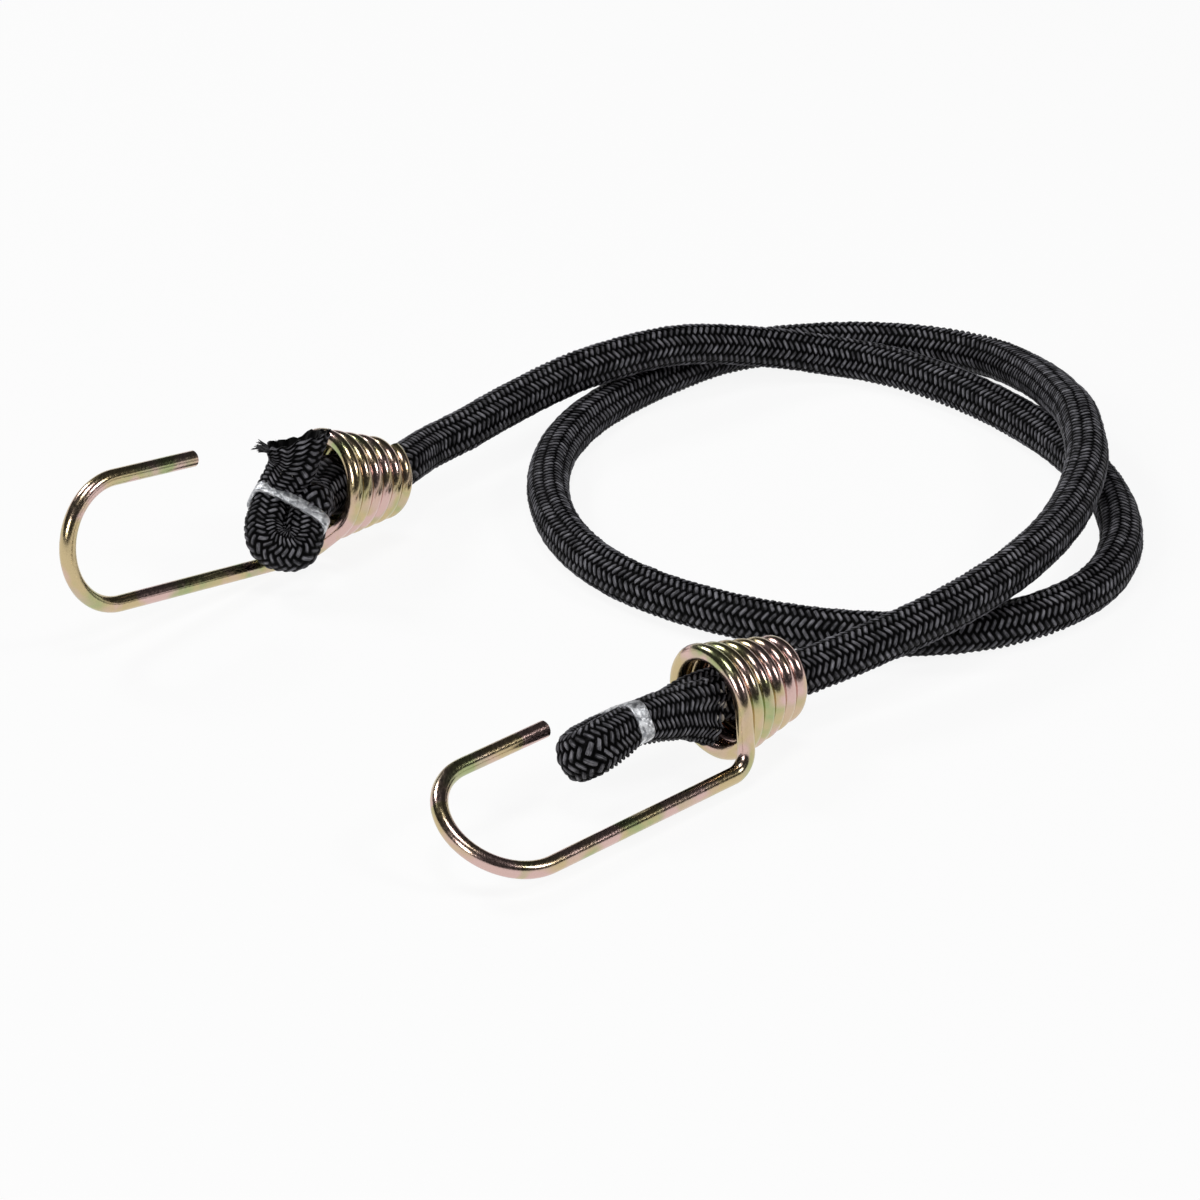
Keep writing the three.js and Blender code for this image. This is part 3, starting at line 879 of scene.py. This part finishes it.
ZINC_GOLD = (0.58, 0.46, 0.26)
ZINC_OLIVE = (0.38, 0.43, 0.21)
ZINC_PINK = (0.66, 0.46, 0.42)
yellow_zinc, nodes, links, shader = new_material("yellow_zinc")
wear = wear_node(nodes, 95.0, 2600.0)
olive_share = ramped(nodes, links, wear.outputs["Blotches"], (0.46, 0.0), (0.64, 1.0))
pink_share = ramped(nodes, links, wear.outputs["Patches"], (0.46, 0.0), (0.6, 1.0))
zinc_colour = mixed(nodes, links, olive_share, ZINC_GOLD, ZINC_OLIVE)
zinc_colour = mixed(nodes, links, pink_share, zinc_colour, ZINC_PINK)
zinc_gloss = ramped(nodes, links, wear.outputs["Scratches"], (0.35, 0.15), (0.7, 0.27))
links.new(zinc_colour, shader.inputs["Base Color"])
links.new(zinc_gloss, shader.inputs["Roughness"])
bumped(nodes, links, shader, wear.outputs["Scratches"], strength=0.06, distance=0.0002)
shader.inputs["Metallic"].default_value = 1.0

CUT_BEVEL = 0.3
WIRE_ROUNDNESS = 8
MERGE_GAP = 1e-7
SMOOTH_BELOW = math.radians(40)


def clean_piece():
    """Merges the active mesh's doubles and turns its faces outwards."""
    bpy.ops.object.mode_set(mode="EDIT")
    bpy.ops.mesh.select_all(action="SELECT")
    bpy.ops.mesh.remove_doubles(threshold=MERGE_GAP)
    bpy.ops.mesh.normals_make_consistent(inside=False)
    bpy.ops.mesh.select_all(action="DESELECT")
    bpy.ops.object.mode_set(mode="OBJECT")


for name, end in (("hook_a", END_A), ("hook_b", END_B)):
    mouth, axes = end_axes(end)
    middle_line = (mouth + wire_path() @ axes.T) * MM
    bpy.ops.object.select_all(action="DESELECT")
    bpy.ops.curve.primitive_nurbs_path_add(location=(0, 0, 0))
    piece = bpy.context.object
    piece.data.splines.clear()
    wire = piece.data.splines.new("POLY")
    wire.points.add(len(middle_line) - 1)
    for point, place in zip(wire.points, middle_line):
        point.co = (*place, 1.0)
    piece.data.bevel_depth = WIRE_RADIUS * MM
    piece.data.bevel_resolution = WIRE_ROUNDNESS
    piece.data.use_fill_caps = True
    piece.data.twist_mode = "MINIMUM"
    bpy.ops.object.convert(target="MESH")
    piece = bpy.context.object
    piece.name = name + "_wire"
    clean_piece()
    for face in piece.data.polygons:
        face.select = len(face.vertices) > 4
    bpy.ops.object.mode_set(mode="EDIT")
    bpy.ops.mesh.select_mode(type="FACE")
    bpy.ops.mesh.region_to_loop()
    bpy.ops.mesh.bevel(offset=CUT_BEVEL * MM, segments=2)
    bpy.ops.object.mode_set(mode="OBJECT")
    bpy.ops.object.shade_smooth_by_angle(angle=SMOOTH_BELOW)
    piece.data.materials.clear()
    piece.data.materials.append(yellow_zinc)
    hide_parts(name)
    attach(piece, name)


# Crimped clips: a flat strip of bare steel bent round both legs of a fold and squeezed, its
# two ends nearly meeting. The squeezing leaves it dented and dull, and clip A leaning. The
# places of the legs are counted in fold points.
CLIP_LEGS_A = (fold_a_count - 1 - 7.7, fold_a_count - 1 - 15.0)
CLIP_LEGS_B = (fold_b_start + 6, fold_b_start + 14)
CLIP_BAND_A = 2.8
CLIP_BAND_B = 3.4
CLIP_LEAN_A = 0.45
CLIP_THICKNESS = 0.9
CLIP_CLEARANCE = 0.1
CLIP_STEPS = 96
CLIP_GAP = math.radians(5)
CLIP_SQUARENESS = 4
CLIP_EDGE = 0.22
STEEL_DULL = (0.28, 0.29, 0.31)
STEEL_BRIGHT = (0.80, 0.81, 0.83)
bare_steel, nodes, links, shader = new_material("bare_steel")
wear = wear_node(nodes, 950.0, 1500.0)
dents = wear.outputs["Blotches"]
steel_colour = ramped(nodes, links, dents, (0.36, STEEL_DULL), (0.62, STEEL_BRIGHT))
steel_gloss = ramped(nodes, links, wear.outputs["Scratches"], (0.35, 0.34), (0.7, 0.55))
links.new(steel_colour, shader.inputs["Base Color"])
links.new(steel_gloss, shader.inputs["Roughness"])
bumped(nodes, links, shader, dents, strength=0.5, distance=0.0004)
shader.inputs["Metallic"].default_value = 1.0

for name, leg_controls, way, gap_at, band, lean, body in (
    ("clip_a", CLIP_LEGS_A, -1, -math.pi / 2, CLIP_BAND_A, CLIP_LEAN_A, "end_a"),
    ("clip_b", CLIP_LEGS_B, 1, 0.0, CLIP_BAND_B, 0.0, "end_b"),
):
    there, back = [row_of(control) for control in leg_controls]
    legs_along = unit((row_along[there] - row_along[back]) * way)
    between = row_middle[there] - row_middle[back]
    side = unit(between)
    axis = squared(legs_along, side)
    slant = math.acos(legs_along.dot(axis))
    axis = axis * math.cos(lean) + np.cross(axis, side) * math.sin(lean)
    upright = np.cross(axis, side)
    half_between = np.linalg.norm(between) / 2
    half_side = half_between + row_sizes[there, 0] / math.cos(slant) + CLIP_CLEARANCE
    half_upright = row_sizes[there, 1] / math.cos(lean) + CLIP_CLEARANCE
    bpy.ops.object.select_all(action="DESELECT")
    bpy.ops.curve.primitive_nurbs_path_add(location=(0, 0, 0))
    piece = bpy.context.object
    piece.data.dimensions = "2D"
    piece.data.fill_mode = "NONE"
    piece.data.splines.clear()
    strip = piece.data.splines.new("POLY")
    strip.points.add(CLIP_STEPS)
    for k, point in enumerate(strip.points):
        angle = gap_at + CLIP_GAP + k * (2 * math.pi - 2 * CLIP_GAP) / CLIP_STEPS
        cosine = math.cos(angle)
        sine = math.sin(angle)
        across = math.copysign(abs(cosine) ** (2 / CLIP_SQUARENESS), cosine)
        up = math.copysign(abs(sine) ** (2 / CLIP_SQUARENESS), sine)
        point.co = (half_side * across * MM, half_upright * up * MM, 0.0, 1.0)
    piece.data.extrude = band / 2 * MM
    bpy.ops.object.convert(target="MESH")
    piece = bpy.context.object
    piece.name = name + "_strip"
    wall = piece.modifiers.new("wall", "SOLIDIFY")
    wall.thickness = CLIP_THICKNESS * MM
    wall.offset = 1.0
    wall.use_even_offset = True
    edge = piece.modifiers.new("edge", "BEVEL")
    edge.width = CLIP_EDGE * MM
    edge.segments = 3
    edge.limit_method = "ANGLE"
    edge.angle_limit = math.radians(50)
    for modifier in ("wall", "edge"):
        bpy.ops.object.modifier_apply(modifier=modifier)
    place = np.eye(4)
    place[:3, :3] = np.column_stack([side, upright, axis])
    place[:3, 3] = (row_middle[there] + row_middle[back]) / 2 * MM
    piece.data.transform(Matrix(place.tolist()))
    clean_piece()
    bpy.ops.object.shade_smooth_by_angle(angle=SMOOTH_BELOW)
    piece.data.materials.clear()
    piece.data.materials.append(bare_steel)
    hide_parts(name)
    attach(piece, body)


# Studio: a wide white table that runs up into a low white rim, with four soft lamps at the
# far left, the right, overhead and the front left, under a dim grey sky. The table glows
# white where it is seen or mirrored, and keeps a share of the cord's shadow.
SWEEP_RADIUS = 5.0
SWEEP_SIDES = 96
SWEEP_RIM = 0.9
SWEEP_DROP = 0.0001
GLOW_SHARE = 0.9
bpy.ops.object.select_all(action="DESELECT")
bpy.ops.mesh.primitive_circle_add(
    vertices=SWEEP_SIDES,
    radius=SWEEP_RADIUS,
    fill_type="NGON",
    location=(0, 0, -SWEEP_DROP),
)
sweep = bpy.context.object
sweep.name = "studio_sweep"
bpy.ops.object.mode_set(mode="EDIT")
bpy.ops.mesh.select_all(action="SELECT")
bpy.ops.mesh.extrude_region_move(TRANSFORM_OT_translate={"value": (0, 0, SWEEP_RIM)})
bpy.ops.mesh.delete(type="ONLY_FACE")
bpy.ops.object.mode_set(mode="OBJECT")
white_table, nodes, links, shader = new_material("white_table")
shader.inputs["Base Color"].default_value = (0.86, 0.86, 0.86, 1.0)
shader.inputs["Roughness"].default_value = 0.9
shader.inputs["Specular IOR Level"].default_value = 0.0
seen = nodes.new("ShaderNodeLightPath")
either = nodes.new("ShaderNodeMath")
either.operation = "MAXIMUM"
links.new(seen.outputs["Is Camera Ray"], either.inputs[0])
links.new(seen.outputs["Is Glossy Ray"], either.inputs[1])
or_through = nodes.new("ShaderNodeMath")
or_through.operation = "MAXIMUM"
links.new(either.outputs["Value"], or_through.inputs[0])
links.new(seen.outputs["Is Transmission Ray"], or_through.inputs[1])
share = nodes.new("ShaderNodeMath")
share.operation = "MULTIPLY"
share.inputs[1].default_value = GLOW_SHARE
links.new(or_through.outputs["Value"], share.inputs[0])
glow = nodes.new("ShaderNodeEmission")
glow.inputs["Color"].default_value = (1.0, 1.0, 1.0, 1.0)
glow.inputs["Strength"].default_value = 1.0
both = nodes.new("ShaderNodeMixShader")
links.new(share.outputs["Value"], both.inputs["Fac"])
links.new(shader.outputs["BSDF"], both.inputs[1])
links.new(glow.outputs["Emission"], both.inputs[2])
output = next(node for node in nodes if node.type == "OUTPUT_MATERIAL")
links.new(both.outputs["Shader"], output.inputs["Surface"])
sweep.data.materials.append(white_table)

LAMPS = (
    ("lamp_far_left", (-0.9, 0.8, 1.1), 0.4, 9.0),
    ("lamp_right", (1.1, -0.3, 1.0), 0.35, 5.5),
    ("lamp_over", (0.0, -0.2, 1.6), 0.5, 6.5),
    ("lamp_front_left", (-0.7, -1.2, 0.9), 0.4, 9.0),
)
for name, place, size, power in LAMPS:
    bpy.ops.object.light_add(type="AREA", location=place)
    lamp = bpy.context.object
    lamp.name = name
    lamp.data.size = size
    lamp.data.energy = power
    aim = -unit(place)
    lamp.rotation_euler = (math.acos(-aim[2]), 0.0, math.atan2(aim[1], aim[0]) - math.pi / 2)
SKY_GREY = (0.03, 0.03, 0.032, 1.0)
sky = bpy.data.worlds.new("dim_sky")
sky.use_nodes = True
sky.node_tree.nodes["Background"].inputs["Color"].default_value = SKY_GREY
bpy.context.scene.world = sky
bpy.context.scene.view_settings.view_transform = "Standard"
